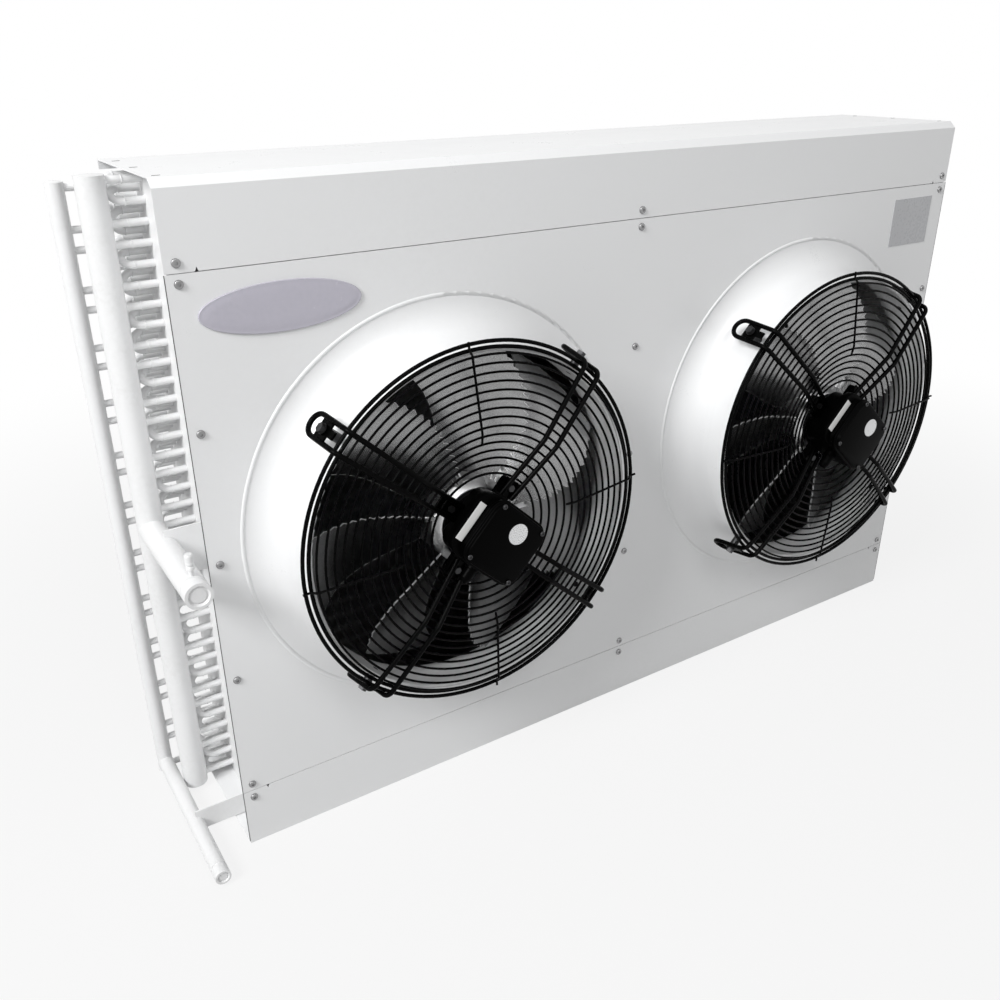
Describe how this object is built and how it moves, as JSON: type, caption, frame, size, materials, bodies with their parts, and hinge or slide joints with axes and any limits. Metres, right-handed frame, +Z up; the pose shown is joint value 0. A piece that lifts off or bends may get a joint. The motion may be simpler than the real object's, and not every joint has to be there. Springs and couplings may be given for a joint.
{
  "type": "refrigeration condenser",
  "caption": "Air-cooled refrigeration condenser: finned tube coil in a painted sheet casing, axial fans behind wire guards on the front, and side headers with capped pipe ends.",
  "frame": {"origin": "centre of the casing's underside, midway along its width and depth", "axes": "+X along the width to the right as seen from the fans, +Y from the fan side back through the coil, +Z up"},
  "size_m": [1.438, 0.402, 0.912],
  "materials": {
    "casing_paint": "smooth white powder coat",
    "coil_paint": "light grey-white paint",
    "pipe_paint": "white paint",
    "fin_aluminium": "mill finish sheet",
    "blade_aluminium": "plain sheet",
    "rotor_aluminium": "machined",
    "black_paint": "semi-gloss black",
    "black_plastic": "fine texture",
    "core_steel": "laminated core",
    "bearing_steel": "ground steel",
    "bolt_zinc": "bright zinc",
    "screw_zinc": "dull zinc",
    "badge_plastic": "bevelled, left bare",
    "label_plastic": "printed film, left bare"
  },
  "bodies": {
    "casing": {"top_cover": "casing_paint", "fan_panel": "casing_paint", "bottom_pan": "casing_paint", "end_plate_left": "coil_paint", "end_plate_right": "coil_paint", "partition_plate": "coil_paint", "casing_screws": "screw_zinc", "badge_plate": "badge_plastic", "rating_plate": "label_plastic", "fin_block": "fin_aluminium", "hairpin_tubes": "coil_paint", "return_bends": "coil_paint", "gas_stubs": "coil_paint", "liquid_stubs": "coil_paint", "gas_header": "pipe_paint", "gas_header_caps": "pipe_paint", "liquid_header": "pipe_paint", "liquid_header_caps": "pipe_paint", "gas_inlet_pipe": "pipe_paint", "liquid_outlet_pipe": "pipe_paint", "gas_inlet_cap": "pipe_paint", "liquid_outlet_cap": "pipe_paint", "service_valve": "pipe_paint", "valve_cap": "pipe_paint", "inlet_bracket": "coil_paint", "outlet_bracket": "coil_paint", "bracket_rivets": "screw_zinc", "left_fan_motor_flange": "black_paint", "left_fan_stator_core": "core_steel", "left_fan_bearings": "bearing_steel", "left_fan_guard_rings": "black_paint", "left_fan_guard_spokes": "black_paint", "left_fan_guard_arms": "black_paint", "left_fan_guard_bolts": "bolt_zinc", "left_fan_terminal_box": "black_plastic", "left_fan_terminal_lid": "black_plastic", "left_fan_terminal_screws": "screw_zinc", "left_fan_cable_gland": "black_plastic", "right_fan_motor_flange": "black_paint", "right_fan_stator_core": "core_steel", "right_fan_bearings": "bearing_steel", "right_fan_guard_rings": "black_paint", "right_fan_guard_spokes": "black_paint", "right_fan_guard_arms": "black_paint", "right_fan_guard_bolts": "bolt_zinc", "right_fan_terminal_box": "black_plastic", "right_fan_terminal_lid": "black_plastic", "right_fan_terminal_screws": "screw_zinc", "right_fan_cable_gland": "black_plastic"},
    "left_fan_rotor": {"left_fan_shaft": "bearing_steel", "left_fan_rotor_can": "rotor_aluminium", "left_fan_blades": "blade_aluminium"},
    "right_fan_rotor": {"right_fan_shaft": "bearing_steel", "right_fan_rotor_can": "rotor_aluminium", "right_fan_blades": "blade_aluminium"}
  },
  "joints": [
    {"name": "left_fan_spin", "type": "hinge", "parent": "casing", "child": "left_fan_rotor", "pos_m": [-0.3465, -0.121, 0.4535], "axis": [0, -1, 0], "continuous": true},
    {"name": "right_fan_spin", "type": "hinge", "parent": "casing", "child": "right_fan_rotor", "pos_m": [0.3465, -0.121, 0.4535], "axis": [0, -1, 0], "continuous": true}
  ]
}
